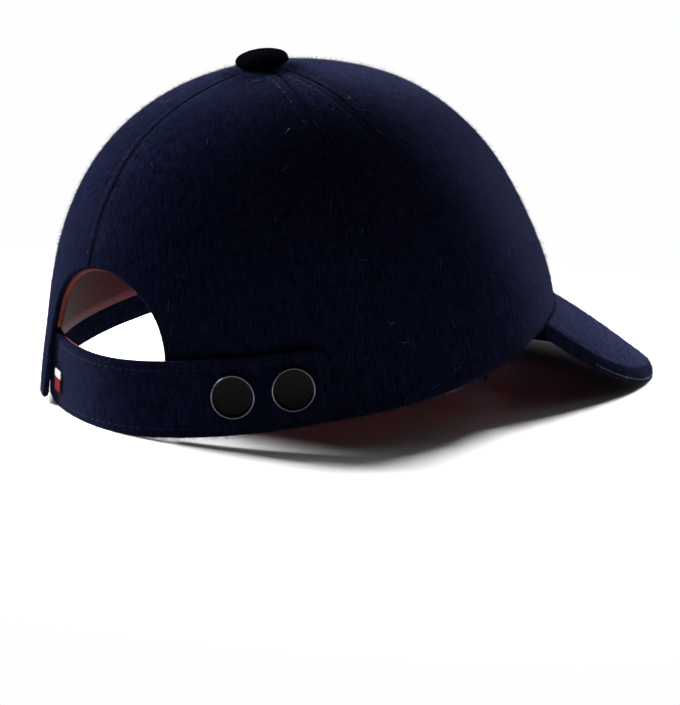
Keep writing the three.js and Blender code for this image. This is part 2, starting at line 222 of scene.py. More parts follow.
def flare(points):
    """How far the left back panel is pushed out by the strap behind it, fading with distance."""
    aside = np.abs(points[..., 0] - FLARE["x"]) / FLARE["reach"]
    above = np.maximum(points[..., 2], 0) / FLARE["reach"]
    near = np.maximum(0, 1 - np.hypot(aside, above))
    return np.where(points[..., 1] > 0, FLARE["out"] * near * near * (3 - 2 * near), 0)


def ripple(points, size, seed):
    """Slow smooth noise from -1 to 1: a mean of sine waves in seeded directions."""
    rng = np.random.default_rng(seed)
    directions = unit(rng.normal(size=(6, 3))) * 2 * np.pi / size
    phases = rng.uniform(0, 2 * np.pi, 6)
    return np.sin(points @ directions.T + phases).mean(-1) * 1.6


def roll(distance, radius):
    """A quarter circle's fall towards an edge: 1 at the edge and 0 a radius away from it."""
    into = 1 - np.clip(distance / radius, 0, 1)
    return 1 - np.sqrt(1 - into**2)


def groove(edge):
    """The depth of the cloth under a row of topstitches: a bell curve of the distance from the row."""
    return STITCH_GROOVE["deep"] * np.exp(-(((edge - STITCH["aside"]) / STITCH_GROOVE["spread"]) ** 2))


def edge_distance(points):
    """The distance of each grid point to the nearest point of the grid's border."""
    border = np.concatenate([points[0], points[-1], points[:, 0], points[:, -1]])
    nearest = [np.linalg.norm(row[:, None] - border[None], axis=-1).min(-1) for row in points]
    return np.array(nearest)


def spaced(length, cell=CELL):
    """Shares from 0 to 1 along a length: close together at both ends, and a cell apart between."""
    near = np.array(EDGE_STEPS) / length
    count = max(3, int(length / cell))
    return np.concatenate([near[:-1], np.linspace(near[-1], 1 - near[-1], count), 1 - near[-2::-1]])


def along(points):
    """Length along a line of points, from 0."""
    steps = np.linalg.norm(np.diff(points, axis=0), axis=-1)
    return np.concatenate([[0], np.cumsum(steps)])


# The cap's pitch and place at rest, from the feet of the strap and of the peak.


def peak_top(a, w):
    """The peak's top face: a runs across it, w from the crown to a superelliptic edge, falling in a curve."""
    x = PEAK["half"] * np.sin(a)
    across = (x / RIM["half"]) ** 2

    def rim_y(share):
        return -RIM["front"] * (1 - share) ** (RIM["point"] / 2)

    corner = rim_y((PEAK["half"] / RIM["half"]) ** 2)
    step = 1e-4
    run = (np.sqrt(across + step) - np.sqrt(across)) * RIM["half"]
    slope = (rim_y(across + step) - rim_y(across)) / run
    inner = rim_y(across) - GAP * np.hypot(1, slope)
    reach = RIM["front"] + PEAK["length"] + corner
    outer = corner - reach * np.maximum(np.cos(a), 0) ** (2 / PEAK["round"])
    y = lerp(inner, np.minimum(outer, inner - 1), w)
    forward = inner - y
    fall = PEAK["fall"] * forward + PEAK["curl"] * forward**2
    fall = fall + PEAK["droop"] * (x / PEAK["half"]) ** 2 * forward
    z = rim_height(1 - across, across) + PEAK_EDGE["overlap"] - fall
    return np.stack(np.broadcast_arrays(x, y, z), -1)


def strap_lift(degrees):
    """How far the strap's inner face lies outside the crown: inside on the left, outside on the right."""
    inside = -WALL - GAP - STRAP["cloth"] - GAP - STRAP["lining"]
    return lerp(inside, GAP, smoothstep(degrees, CROSSING["from"], CROSSING["to"]))


def strap_point(degrees, z, distance):
    """A point on the strap at an angle and height. Below the rim it hangs straight down."""
    t = np.radians(degrees)
    share = shares(t)
    foot = rim_height(share["front"], share["side"])
    point = layer(t, level_of(t, np.maximum(z, foot)), strap_lift(degrees) + distance)
    point[..., 2] += np.minimum(z - foot, 0)
    return point


STRAP_FACE = STRAP["lining"] + GAP + STRAP["cloth"]
strap_foot = strap_point(np.array(0.0), np.array(STRAP["bottom"]), STRAP_FACE) + [0, 0, GIVE["strap"]]
peak_tip = peak_top(np.array(0.0), np.array(1.0))
peak_half_edge = PEAK_EDGE["thick"] * (1 + PEAK_EDGE["thin"]) / 2
peak_foot = peak_tip + [0, 0, GIVE["peak"] - peak_half_edge]
PITCH = math.atan2(strap_foot[2] - peak_foot[2], strap_foot[1] - peak_foot[1])
TURN = np.array(Matrix.Rotation(-PITCH, 3, "X"))


def peak_least_y():
    """The peak's least y once turned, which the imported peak's box then places."""
    top = peak_tip - [0, 0, PEAK_EDGE["thick"] * (1 - PEAK_EDGE["thin"]) / 2]
    bottom = top - [0, 0, PEAK_EDGE["thick"] * PEAK_EDGE["thin"]]
    return min((TURN @ top)[1], (TURN @ bottom)[1])


peak_low, peak_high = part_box("peak")
REST = np.array([
    (peak_low.x + peak_high.x) / 2 / MM,
    peak_low.y / MM - peak_least_y(),
    -(TURN @ strap_foot)[2],
])


def set_down(points):
    """Points of the cap's own frame, in millimetres, as metres in the part's frame."""
    return (points @ TURN.T + REST) * MM


# Meshes from grids.


def cells(index):
    """The four corners of each cell of a grid of vertex numbers."""
    corners = (index[:-1, :-1], index[1:, :-1], index[1:, 1:], index[:-1, 1:])
    return np.stack(corners, -1).reshape(-1, 4)


def shell(outer, inner, cloth=None):
    """A closed wall: two sheets of one grid that share the vertices of their border."""
    columns, rows = outer.shape[:2]
    top = np.arange(columns * rows).reshape(columns, rows)
    under = top + columns * rows
    for edge in (np.s_[0, :], np.s_[-1, :], np.s_[:, 0], np.s_[:, -1]):
        under[edge] = top[edge]
    quads = np.concatenate([cells(top), cells(under)[:, ::-1]])
    points = np.concatenate([outer.reshape(-1, 3), inner.reshape(-1, 3)])
    places = None if cloth is None else np.concatenate([cloth.reshape(-1, 2)] * 2)
    return points, [quads], places


def wrapped(grid, start_pole, end_pole):
    """A closed skin: a grid that wraps round its first direction, with a pole at each end of its second."""
    columns, rows = grid.shape[:2]
    index = np.arange(columns * rows).reshape(columns, rows)
    index = np.concatenate([index, index[:1]])
    first, last = columns * rows, columns * rows + 1
    turn = np.arange(columns)
    start = np.stack([np.full(columns, first), index[turn + 1, 0], index[turn, 0]], -1)
    end = np.stack([np.full(columns, last), index[turn, -1], index[turn + 1, -1]], -1)
    points = np.concatenate([grid.reshape(-1, 3), [start_pole], [end_pole]])
    return points, [cells(index), start, end]


def revolve(profile, segments, wave=0.0, waves=0):
    """A profile of radii and heights turned about Z, with optional waves. It starts and ends on the axis."""
    angle = np.linspace(0, 2 * np.pi, segments, endpoint=False)[:, None]
    radius = profile[None, 1:-1, 0] * (1 + wave * np.cos(waves * angle))
    height = np.broadcast_to(profile[None, 1:-1, 1], radius.shape)
    grid = np.stack([radius * np.cos(angle), radius * np.sin(angle), height], -1)
    return wrapped(grid, [0, 0, profile[0, 1]], [0, 0, profile[-1, 1]])


def facing(points, place, normal):
    """Points about +Z, turned to stand on a place along its normal."""
    side = unit(np.cross([0, 0, 1.0], normal)) if abs(normal[2]) < 0.999 else np.array([1.0, 0, 0])
    return points @ np.stack([side, np.cross(normal, side), normal]) + place


def tube(path, radius, sides):
    """A round profile carried along a path, turned with the path's own bend."""
    tangent = unit(np.gradient(path, axis=0))
    side = unit(np.cross(tangent, [0, 1.0, 0.3]))
    other = np.cross(tangent, side)
    angle = np.linspace(0, 2 * np.pi, sides, endpoint=False)[:, None, None]
    grid = path[None] + radius * (np.cos(angle) * side[None] + np.sin(angle) * other[None])
    return wrapped(grid, path[0], path[-1])


def make_piece(name, shape, materials, node=None, cloth=None, face_material=None):
    """Puts a shape into a mesh object that rides on the cap."""
    points, faces = shape[:2]
    used, numbers = np.unique(np.concatenate([f.ravel() for f in faces]), return_inverse=True)
    mesh = bpy.data.meshes.new(name)
    mesh.vertices.add(len(used))
    metres = np.maximum(set_down(points[used]), [-9, -9, 0])
    mesh.vertices.foreach_set("co", metres.astype(np.float32).ravel())
    sizes = np.concatenate([np.full(len(f), f.shape[1]) for f in faces])
    mesh.loops.add(len(numbers))
    mesh.loops.foreach_set("vertex_index", numbers.astype(np.int32))
    mesh.polygons.add(len(sizes))
    mesh.polygons.foreach_set("loop_start", np.concatenate([[0], np.cumsum(sizes)[:-1]]).astype(np.int32))
    mesh.update(calc_edges=True)
    mesh.polygons.foreach_set("use_smooth", np.ones(len(sizes), bool))
    if cloth is not None:
        layer_uv = mesh.uv_layers.new(name="cloth")
        layer_uv.data.foreach_set("uv", (cloth[used][numbers] / CLOTH_UNIT).astype(np.float32).ravel())
    for material in materials:
        mesh.materials.append(material)
    if face_material is not None:
        mesh.polygons.foreach_set("material_index", face_material.astype(np.int32))
    mesh.validate()
    piece = bpy.data.objects.new(name, mesh)
    bpy.context.scene.collection.objects.link(piece)
    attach(piece, "root")
    if node:
        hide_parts(node)
    return piece


# Materials.


def linear(hex_colour):
    """An sRGB hex value as linear red, green, blue and alpha."""
    channels = [int(hex_colour[i:i + 2], 16) / 255 for i in (1, 3, 5)]
    turned = [c / 12.92 if c <= 0.04045 else ((c + 0.055) / 1.055) ** 2.4 for c in channels]
    return (*turned, 1.0)


def add_node(tree, kind, settings=None, **inputs):
    """Adds a node with its settings. Each input is a value, or a socket to link from."""
    made = tree.nodes.new(kind)
    for name, value in (settings or {}).items():
        setattr(made, name, value)
    for name, value in inputs.items():
        socket = made.inputs[name.replace("_", " ")]
        if isinstance(value, bpy.types.NodeSocket):
            tree.links.new(value, socket)
        else:
            socket.default_value = value
    return made


def new_material(name):
    """An empty node material, with its tree and its output."""
    material = bpy.data.materials.new(name)
    material.use_nodes = True
    material.node_tree.nodes.clear()
    return material, material.node_tree, material.node_tree.nodes.new("ShaderNodeOutputMaterial")


def per_unit(size_mm):
    """How many cells of a size fit in one unit of the cloth map."""
    return CLOTH_UNIT / size_mm


def brushed_wool(name, dark, light, sheen):
    """Brushed melton wool: a felted nap that runs down the cloth, matt, mottled and pale where it grazes."""
    material, tree, output = new_material(name)
    place = add_node(tree, "ShaderNodeTexCoord").outputs["UV"]
    lay = add_node(tree, "ShaderNodeMapping", Vector=place, Scale=(per_unit(0.6), per_unit(4.5), 1))
    nap = add_node(
        tree, "ShaderNodeTexNoise", Vector=lay.outputs["Vector"], Scale=1.0, Detail=4.0, Roughness=0.7,
        Distortion=0.6,
    )
    clump = add_node(tree, "ShaderNodeTexNoise", Vector=place, Scale=per_unit(4), Detail=3.0, Roughness=0.6)
    uneven = add_node(tree, "ShaderNodeMapRange", Value=clump.outputs["Fac"], To_Min=0.75, To_Max=1.25)
    streak = add_node(tree, "ShaderNodeMath", {"operation": "MULTIPLY"})
    tree.links.new(nap.outputs["Fac"], streak.inputs[0])
    tree.links.new(uneven.outputs["Result"], streak.inputs[1])
    tone = add_node(tree, "ShaderNodeValToRGB", Fac=streak.outputs["Value"])
    tone.color_ramp.elements[0].position = 0.36
    tone.color_ramp.elements[0].color = linear(dark)
    tone.color_ramp.elements[1].position = 0.7
    tone.color_ramp.elements[1].color = linear(light)
    bump = add_node(tree, "ShaderNodeBump", Height=streak.outputs["Value"], Strength=0.8, Distance=0.5 * MM)
    cloth = add_node(
        tree, "ShaderNodeBsdfPrincipled", Base_Color=tone.outputs["Color"], Normal=bump.outputs["Normal"],
        Roughness=0.95, Specular_IOR_Level=0.0, Sheen_Weight=sheen, Sheen_Roughness=0.3,
        Sheen_Tint=linear("#6d74a4"),
    )
    tree.links.new(cloth.outputs["BSDF"], output.inputs["Surface"])
    return material


def wool_fibre(name, dark, light):
    """Single wool hairs that stand off the cloth: matt, and paler than the cloth where light catches them."""
    material, tree, output = new_material(name)
    place = add_node(tree, "ShaderNodeTexCoord").outputs["Object"]
    patch = add_node(tree, "ShaderNodeTexNoise", Vector=place, Scale=1 / (6 * MM), Detail=2.0)
    tone = add_node(tree, "ShaderNodeValToRGB", Fac=patch.outputs["Fac"])
    tone.color_ramp.elements[0].color = linear(dark)
    tone.color_ramp.elements[1].color = linear(light)
    hair = add_node(
        tree, "ShaderNodeBsdfPrincipled", Base_Color=tone.outputs["Color"], Roughness=0.8,
        Specular_IOR_Level=0.02,
    )
    tree.links.new(hair.outputs["BSDF"], output.inputs["Surface"])
    return material


def woven_cloth(name, dark, light, thread_mm, roughness):
    """Plain woven cloth: a grid of fine threads, drawn as coarse as it needs to show."""
    material, tree, output = new_material(name)
    place = add_node(tree, "ShaderNodeTexCoord").outputs["UV"]
    heights = []
    for direction in ("X", "Y"):
        wave = add_node(
            tree, "ShaderNodeTexWave", {"bands_direction": direction},
            Vector=place, Scale=per_unit(thread_mm) / 20 * np.pi, Distortion=0.6, Detail=1.0,
        )
        heights.append(wave.outputs["Fac"])
    weave = add_node(tree, "ShaderNodeMath", {"operation": "MULTIPLY"})
    tree.links.new(heights[0], weave.inputs[0])
    tree.links.new(heights[1], weave.inputs[1])
    tone = add_node(tree, "ShaderNodeValToRGB", Fac=weave.outputs["Value"])
    tone.color_ramp.elements[0].color = linear(dark)
    tone.color_ramp.elements[1].color = linear(light)
    bump = add_node(tree, "ShaderNodeBump", Height=weave.outputs["Value"], Strength=0.3, Distance=0.15 * MM)
    cloth = add_node(
        tree, "ShaderNodeBsdfPrincipled", Base_Color=tone.outputs["Color"], Normal=bump.outputs["Normal"],
        Roughness=roughness, Specular_IOR_Level=0.03,
    )
    tree.links.new(cloth.outputs["BSDF"], output.inputs["Surface"])
    return material


def striped_ribbon(name):
    """Woven ribbon in two colours: white above and red below, with a fine cross weave."""
    material, tree, output = new_material(name)
    place = add_node(tree, "ShaderNodeTexCoord").outputs["UV"]
    split = add_node(tree, "ShaderNodeSeparateXYZ", Vector=place)
    band = add_node(tree, "ShaderNodeValToRGB", Fac=split.outputs["Y"])
    band.color_ramp.interpolation = "CONSTANT"
    band.color_ramp.elements[0].color = linear("#4d0a11")
    band.color_ramp.elements[1].position = lerp(TAB["bottom"], TAB["top"], 0.62) / CLOTH_UNIT
    band.color_ramp.elements[1].color = linear("#a09b98")
    weave = add_node(tree, "ShaderNodeTexNoise", Vector=place, Scale=per_unit(0.35), Detail=1.0)
    bump = add_node(tree, "ShaderNodeBump", Height=weave.outputs["Fac"], Strength=0.5, Distance=0.12 * MM)
    ribbon = add_node(
        tree, "ShaderNodeBsdfPrincipled", Base_Color=band.outputs["Color"], Normal=bump.outputs["Normal"],
        Roughness=0.8, Specular_IOR_Level=0.05,
    )
    tree.links.new(ribbon.outputs["BSDF"], output.inputs["Surface"])
    return material


def black_enamel():
    """Black enamel on a pressed brass cap: glossy, with the slight unevenness of a sprayed coat."""
    material, tree, output = new_material("black_enamel")
    place = add_node(tree, "ShaderNodeTexCoord").outputs["Object"]
    peel = add_node(tree, "ShaderNodeTexNoise", Vector=place, Scale=1 / (1.5 * MM), Detail=2.0)
    bump = add_node(tree, "ShaderNodeBump", Height=peel.outputs["Fac"], Strength=0.06, Distance=0.1 * MM)
    wear = add_node(tree, "ShaderNodeMapRange", Value=peel.outputs["Fac"], To_Min=0.24, To_Max=0.36)
    coat = add_node(
        tree, "ShaderNodeBsdfPrincipled", Base_Color=linear("#020203"), Normal=bump.outputs["Normal"],
        Roughness=wear.outputs["Result"], Specular_IOR_Level=0.05,
    )
    tree.links.new(coat.outputs["BSDF"], output.inputs["Surface"])
    return material


def dark_nickel():
    """Dark nickel plating on the stud's turned rim: a metal that catches a thin bright line."""
    material, tree, output = new_material("dark_nickel")
    place = add_node(tree, "ShaderNodeTexCoord").outputs["Object"]
    rub = add_node(tree, "ShaderNodeTexNoise", Vector=place, Scale=1 / (0.8 * MM), Detail=2.0)
    rough = add_node(tree, "ShaderNodeMapRange", Value=rub.outputs["Fac"], To_Min=0.2, To_Max=0.4)
    metal = add_node(
        tree, "ShaderNodeBsdfPrincipled", Base_Color=linear("#5f626b"), Metallic=1.0,
        Roughness=rough.outputs["Result"],
    )
    tree.links.new(metal.outputs["BSDF"], output.inputs["Surface"])
    return material


def spun_thread(name, dark, light):
    """Spun sewing thread: matt, with a slight change of tone along its twist."""
    material, tree, output = new_material(name)
    place = add_node(tree, "ShaderNodeTexCoord").outputs["Object"]
    twist = add_node(tree, "ShaderNodeTexNoise", Vector=place, Scale=1 / (0.4 * MM), Detail=1.0)
    tone = add_node(tree, "ShaderNodeValToRGB", Fac=twist.outputs["Fac"])
    tone.color_ramp.elements[0].color = linear(dark)
    tone.color_ramp.elements[1].color = linear(light)
    thread = add_node(
        tree, "ShaderNodeBsdfPrincipled", Base_Color=tone.outputs["Color"], Roughness=0.8,
        Specular_IOR_Level=0.1,
    )
    tree.links.new(thread.outputs["BSDF"], output.inputs["Surface"])
    return material


NAVY_WOOL = brushed_wool("brushed_navy_wool", "#030408", "#11142b", 0.2)
# The peak's top: a copy of the navy wool whose paler colour is a painted highlight, with a stronger sheen as
# well.
PEAK_PAINTED_LIGHT_WOOL = brushed_wool("navy_wool_painted_highlight", "#070914", "#191d37", 0.34)
BUTTON_WOOL = brushed_wool("brushed_black_wool", "#020204", "#06070c", 0.0)
NAVY_FIBRE = wool_fibre("loose_navy_wool_hair", "#06070e", "#20243f")
PALE_LINT = wool_fibre("pale_lint_hair", "#2a2d42", "#74778c")
RED_LINING = woven_cloth("red_lining_cloth", "#3d0710", "#5c101b", 0.5, 0.6)
PALE_PIPING = woven_cloth("light_red_piping_cord", "#4f211b", "#86473d", 0.6, 0.65)
BLACK_TAPE = woven_cloth("black_woven_tape", "#020203", "#08080b", 0.5, 0.8)
TAB_RIBBON = striped_ribbon("white_and_red_woven_ribbon")
ENAMEL = black_enamel()
NICKEL = dark_nickel()
NAVY_THREAD = spun_thread("navy_sewing_thread", "#05060d", "#14172c")
GREY_THREAD = spun_thread("grey_sewing_thread", "#5c5e6e", "#c4c6d2")

# The crown's panels.


def arch_edge(sign, margin, rim):
    """The opening's edge on one side: down the arch and the leg, and round the corner to the rim."""
    half = ARCH["half"] + margin
    start = math.asin(sign * ARCH["x"] / half)
    turn = np.linspace(start, np.pi / 2, 60)
    leg_x = ARCH["x"] - sign * half
    x = [ARCH["x"] - sign * half * np.sin(turn)]
    z = [ARCH["spring"] + (ARCH["rise"] + margin) * np.cos(turn)]
    corner = ARCH["corner"]
    leg = np.linspace(ARCH["spring"], corner + rim, 20)[1:]
    x.append(np.full(leg.shape, float(leg_x)))
    z.append(leg)
    bend = np.linspace(0, np.pi / 2, 14)[1:]
    x.append(leg_x - sign * corner * (1 - np.cos(bend)))
    z.append(rim + corner * (1 - np.sin(bend)))
    t, s = place_at(np.concatenate(x), np.concatenate(z))
    return sign * t, s


def top_level(t):
    """The s at which the crown narrows to the hole under the button."""
    s = np.linspace(0.5, 1, 2000)
    points = crown(t, s)
    radius = np.hypot(points[:, 0], points[:, 1] - CROWN["apex_back"])
    return np.interp(-TOP_HOLE_RADIUS, -radius, s)


def panel_places(name, sign):
    """A panel's t and s on a grid: rows leave its lower edge square to it, then run straight to its top."""
    if name == "back":
        low_t, low_s = arch_edge(sign, 0, 0)
        rim_t = np.linspace(low_t[-1], SEAM["back"], 40)[1:]
        low_t = np.concatenate([low_t, rim_t])
        low_s = np.concatenate([low_s, np.zeros(rim_t.shape)])
        span = (0.0, SEAM["back"])
    else:
        span = (SEAM["back"], SEAM["front"]) if name == "side" else (SEAM["front"], np.pi)
        low_t = np.linspace(*span, 120)
        low_s = np.zeros(120)
    run = along(crown(sign * low_t, low_s))
    columns = spaced(run[-1])
    share = run / run[-1]
    t = np.interp(columns, share, low_t)
    s = np.interp(columns, share, low_s)
    around = np.mean([RIM["half"], RIM["back"]])
    step = np.stack([np.gradient(t) * around, np.gradient(s) * UP_LENGTH], -1)
    square = unit(np.stack([-step[:, 1], step[:, 0]], -1))
    hold = smoothstep(np.minimum(columns, 1 - columns) * run[-1], 0, 6)
    near = np.array(EDGE_STEPS)[None]
    edge_t = t[:, None] + square[:, :1] * hold[:, None] * near / around
    edge_s = s[:, None] + square[:, 1:] * near / UP_LENGTH
    top_t = lerp(span[0], span[1], columns)[:, None]
    top = top_level(sign * sum(span) / 2)
    rest = np.linspace(0, 1, int(UP_LENGTH / CELL))[None, 1:]
    rest_t = lerp(edge_t[:, -1:], top_t, rest)
    rest_s = lerp(edge_s[:, -1:], top, rest)
    places = np.concatenate([edge_t, rest_t], 1) * sign, np.concatenate([edge_s, rest_s], 1)
    return [grid if sign > 0 else grid[::-1] for grid in places]


def panel(name, sign):
    """A panel's outer and inner sheets, with rolled edges, a soft valley along its seams and slow ripples."""
    t, s = panel_places(name, sign)
    face = crown(t, s)
    edge = edge_distance(face)
    lift = flare(face) + RIPPLE["high"] * ripple(face, RIPPLE["size"], SEED)
    lift = lift - VALLEY["deep"] * np.exp(-edge / VALLEY["reach"])
    lift = lift - groove(edge)
    fall = roll(edge, ROLL) * WALL / 2
    around = (t - sign * np.abs(t).mean()) * np.hypot(face[..., 0], face[..., 1])
    cloth = np.stack([around, s * UP_LENGTH], -1)
    return layer(t, s, lift - fall), layer(t, s, lift - WALL + fall), cloth


fuzzy_faces = {}
for side, sign in (("left", -1), ("right", 1)):
    for place in ("front", "side", "back"):
        outer, inner, cloth = panel(place, sign)
        name = f"crown_{place}_{side}"
        wall = shell(outer, inner, cloth)
        make_piece(f"{name}_panel", wall, [NAVY_WOOL], name, wall[2])
        fuzzy_faces[name] = outer

# The peak.


def peak_sheets():
    """The peak's top and bottom sheets, which meet half way down at a thick rolled edge."""
    limit = np.pi / 2 - PEAK_EDGE["corner"]
    angle = np.linspace(limit, -limit, 110)[:, None]
    rows = spaced(PEAK["length"], PEAK_CELL)[None]
    top = peak_top(angle, rows)
    top[:, 0, :2] -= PEAK_EDGE["tuck"] * unit(top[:, 0, :2])
    to_front = np.linalg.norm(top - peak_top(angle, np.ones_like(rows)), axis=-1)
    to_side = np.minimum(along(top[:, -1])[:, None], along(top[::-1, -1])[::-1][:, None])
    edge = np.minimum(to_front, to_side)
    edge[[0, -1]] = 0
    back = np.linalg.norm(top - top[:, :1], axis=-1)
    half = PEAK_EDGE["thick"] / 2
    fall = half * np.maximum(roll(edge, PEAK_ROLL["edge"]), roll(back, PEAK_ROLL["back"]))
    soft = RIPPLE["high"] * ripple(top, RIPPLE["size"], SEED)
    middle = top - [0, 0, half]
    upper = middle + (half + soft - fall)[..., None] * np.array([0, 0, 1])
    lower = middle - (half - soft - fall)[..., None] * np.array([0, 0, 1])
    upper[edge == 0] = lower[edge == 0] = middle[edge == 0]
    upper[:, 0] = lower[:, 0] = middle[:, 0]
    cloth = np.stack([top[..., 0], -np.hypot(top[..., 1], top[..., 2])], -1)
    return upper, lower, cloth


peak_upper, peak_lower, peak_cloth = peak_sheets()
peak_wall = shell(peak_upper, peak_lower, peak_cloth)
# The peak's top, except a band along its edge, takes the paler wool as a painted highlight. The edge and the
# underside keep the plain wool.
painted_highlight_cells = np.zeros((peak_upper.shape[0] - 1, peak_upper.shape[1] - 1), int)
painted_highlight_cells[PEAK_BAND["columns"]:-PEAK_BAND["columns"], :-PEAK_BAND["rows"]] = 1
peak_painted_highlight = np.concatenate([painted_highlight_cells.ravel(), np.zeros(painted_highlight_cells.size, int)])
make_piece(
    "peak_cover", peak_wall, [NAVY_WOOL, PEAK_PAINTED_LIGHT_WOOL], "peak", peak_wall[2], face_material=peak_painted_highlight,
)
fuzzy_faces["peak"] = peak_upper
fuzzy_faces["peak_under"] = peak_lower[::-1]

# The strap and its lining.


def strap_sheets(low, high, inset):
    """One layer of the strap between two distances, with round corners at its free end and rolled edges."""
    length = along(strap_point(np.linspace(STRAP["start"], STRAP["end"], 90), np.full(90, 12.0), 0.0))[-1]
    degrees = lerp(STRAP["start"], STRAP["end"], spaced(length, STRAP_CELL))[:, None]
    bottom = STRAP["bottom"] + inset["bottom"]
    top = STRAP["top"] - inset["top"]
    across = spaced(top - bottom, STRAP_CELL)[None]
    into = np.clip(1 - (STRAP["end"] - degrees) / STRAP_END["corner"], 0, 1)
    half = (top - bottom) / 2 * (1 - STRAP_END["narrowing"] * (1 - np.sqrt(1 - into**2)))
    z = (top + bottom) / 2 + half * (2 * across - 1)
    degrees = np.broadcast_to(degrees, z.shape)
    face = strap_point(degrees, z, high)
    edge = edge_distance(face)
    wall = high - low
    fall = roll(edge, wall * 0.6) * wall / 2
    dip = groove(edge) * wall / 2
    cloth = np.stack([degrees / 90 * np.pi / 2 * RIM["back"], z], -1)
    return strap_point(degrees, z, high - fall - dip), strap_point(degrees, z, low + fall), cloth


NO_INSET = {"bottom": 0, "top": 0}
strap_outer, strap_inner, strap_cloth = strap_sheets(STRAP["lining"] + GAP, STRAP_FACE, NO_INSET)
strap_wall = shell(strap_outer, strap_inner, strap_cloth)
make_piece("strap_band", strap_wall, [NAVY_WOOL], "strap", strap_wall[2])
fuzzy_faces["strap"] = strap_outer
red_wall = shell(*strap_sheets(0.0, STRAP["lining"], STRAP_LINING_INSET))
make_piece("strap_red_lining", red_wall, [RED_LINING], "strap_lining", red_wall[2])

# The press studs: an enamelled dish in a turned rim.


def stud_profile():
    """Half a section: a flat base, a straight wall, a thin round rim, and inside it a dished face."""
    radius, height, rim = SNAP["radius"], SNAP["height"], SNAP["rim"]
    base = np.array([[0, 0], [radius - rim / 2, 0], [radius, rim / 2]])
    bend = np.linspace(0, np.pi, 9)
    middle = radius - rim / 2
    bead = np.stack([middle + rim / 2 * np.cos(bend), height - rim / 2 + rim / 2 * np.sin(bend)], -1)
    reach = np.linspace(1, 0, 14)[1:]
    dish = np.stack([(radius - rim) * reach, height - rim * (1.5 - 0.7 * reach**2)], -1)
    return np.concatenate([base, bead, dish]), len(base) - 1, len(bead)


for name in ("inner", "outer"):
    t = np.radians(SNAP[name])
    level = level_of(t, SNAP["z"])
    profile, first, count = stud_profile()
    points, faces = revolve(profile, SNAP["segments"])
    row = np.tile(np.arange(len(profile) - 3), SNAP["segments"])
    on_rim = (row >= first) & (row < first + count - 1)
    finish = np.concatenate([on_rim, np.zeros(2 * SNAP["segments"], bool)]).astype(int)
    seat = layer(t, level, GAP + STRAP_FACE + GAP)
    stud = facing(points, seat, outward(t, level)), faces
    make_piece(f"stud_{name}", stud, [ENAMEL, NICKEL], f"snap_{name}", face_material=finish)

# The button, with the small pleats of cloth gathered under it.


def button_shape():
    """A flattened dome with pleats that deepen towards its lower edge, and its cloth map round and up."""
    radius, height, edge = BUTTON["radius"], BUTTON["height"], BUTTON["edge"]
    sweep = np.linspace(-0.9, 1, 26)
    x = radius * np.cos(sweep * np.pi / 2) ** 0.7
    skirt = edge + (edge + BUTTON["sunk"]) * sweep
    dome = edge + (height - edge) * np.sin(np.maximum(sweep, 0) * np.pi / 2)
    z = np.where(sweep < 0, skirt, dome)
    profile = np.stack([x, z], -1)
    profile[-1, 0] = 0
    profile = np.concatenate([[[0, profile[0, 1]]], profile])
    points, faces = revolve(profile, 96, 0.012, 10)
    angle = np.arctan2(points[:, 1], points[:, 0])
    up = points[:, 2] * 1.5 + np.hypot(*points[:, :2].T)
    return points, faces, np.stack([np.abs(angle) * radius, up], -1)


button_points, button_faces, button_cloth = button_shape()
button_seat = np.array([0, CROWN["apex_back"], CROWN["height"] + GAP])
button = (button_points + button_seat, button_faces)
make_piece("covered_button", button, [BUTTON_WOOL], "button", button_cloth)

# The lining and its piping.


def lining_edge(sign):
    """The lining's lower edge on one side: along the arch, out over the strap's pocket, down to the rim."""
    half, rise = ARCH["half"] + LINING["hem"], ARCH["rise"] + LINING["hem"]
    start = math.asin(sign * ARCH["x"] / half)
    turn = np.linspace(start, math.acos((STRAP_POCKET["top"] - ARCH["spring"]) / rise), 50)
    x = ARCH["x"] - sign * half * np.sin(turn)
    leg_x = ARCH["x"] - sign * STRAP_POCKET["half"]
    out = np.linspace(x[-1], leg_x, 14)[1:]
    down = np.linspace(STRAP_POCKET["top"], LINING["foot"], 24)[1:]
    x = np.concatenate([x, out, np.full(down.shape, leg_x)])
    z = np.concatenate([ARCH["spring"] + rise * np.cos(turn), np.full(out.shape, STRAP_POCKET["top"]), down])
    t, s = place_at(x, z)
    return sign * t, s


